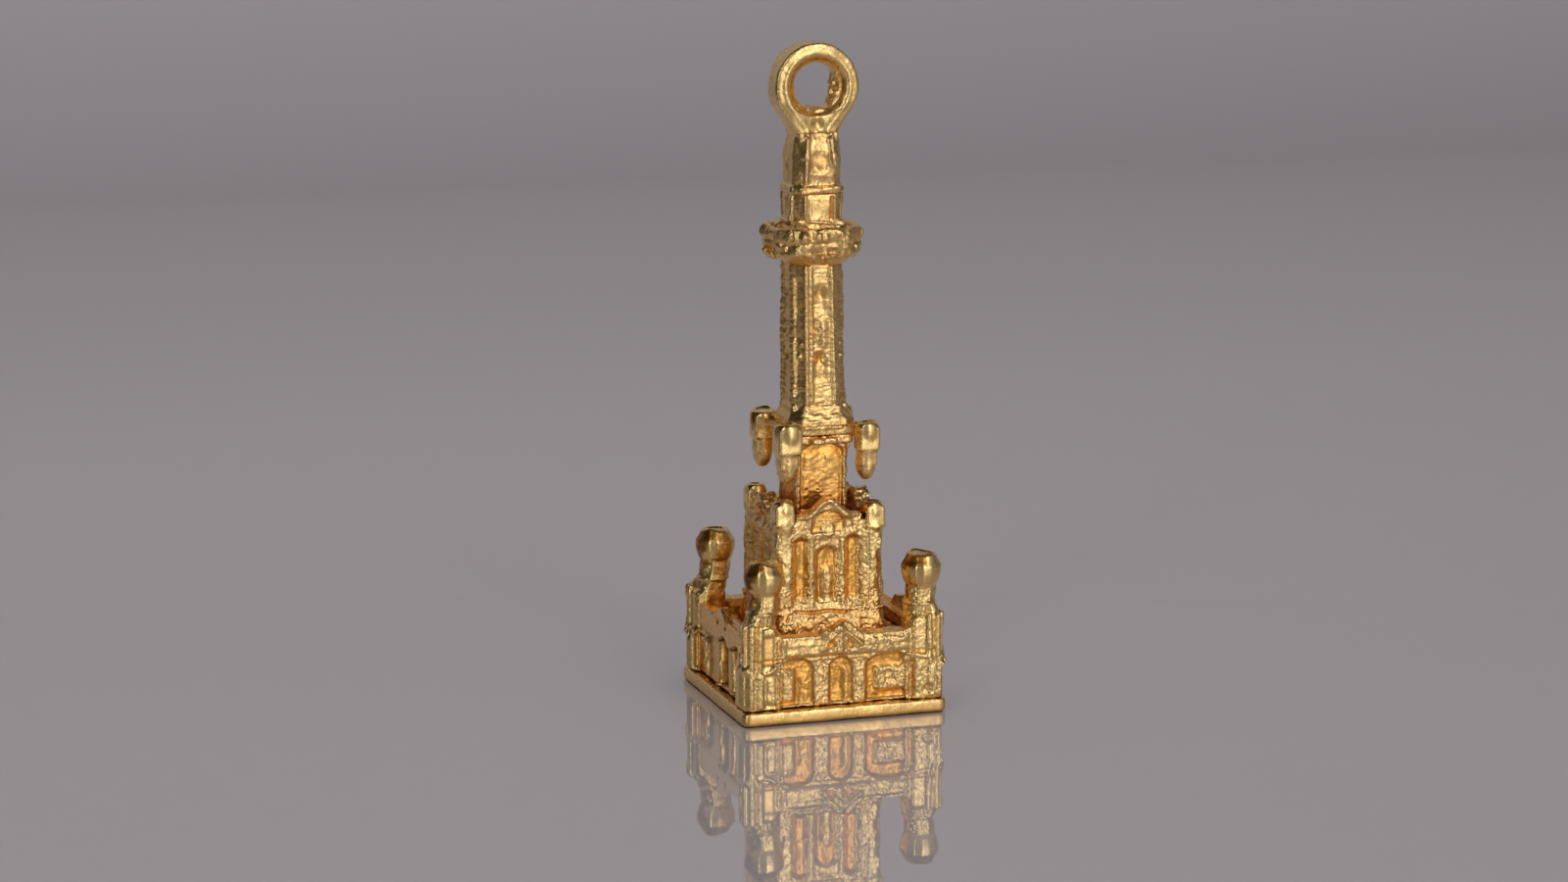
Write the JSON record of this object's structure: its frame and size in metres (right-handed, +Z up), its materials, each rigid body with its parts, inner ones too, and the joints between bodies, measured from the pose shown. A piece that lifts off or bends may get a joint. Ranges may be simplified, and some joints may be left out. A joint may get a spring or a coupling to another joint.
{
  "type": "castellated tower charm",
  "caption": "Small hanging charm shaped as a slender castellated stone tower on a square plate, with corner turrets, a gallery, a domed lantern and a fixed ring at the top.",
  "frame": {"origin": "centre of the base plate's underside", "axes": "+Z up along the tower's axis, -Y the front wall's outward direction, +X to the right seen from the front; the ring's flat faces look along Y"},
  "size_m": [0.009, 0.009, 0.028],
  "materials": {
    "cast_gold": "grainy as-cast gold-coloured metal, darker orange in the recesses",
    "polished_gold": "tumble-polished gold-coloured metal"
  },
  "bodies": {
    "root": {"base_plate": "polished_gold", "wall_front": "cast_gold", "wall_right": "cast_gold", "wall_back": "cast_gold", "wall_left": "cast_gold", "corner_turret_front_left": "polished_gold", "corner_turret_front_right": "polished_gold", "corner_turret_back_right": "polished_gold", "corner_turret_back_left": "polished_gold", "terrace_deck": "cast_gold", "middle_tier": "cast_gold", "middle_post_front_left": "polished_gold", "middle_post_front_right": "polished_gold", "middle_post_back_right": "polished_gold", "middle_post_back_left": "polished_gold", "upper_tier": "cast_gold", "bracket_plate": "cast_gold", "bartizan_front_left": "polished_gold", "bartizan_front_right": "polished_gold", "bartizan_back_right": "polished_gold", "bartizan_back_left": "polished_gold", "tower_shaft": "cast_gold", "gallery": "cast_gold", "lantern_drum": "cast_gold", "dome_cap": "cast_gold", "bail_loop": "polished_gold"}
  },
  "joints": []
}
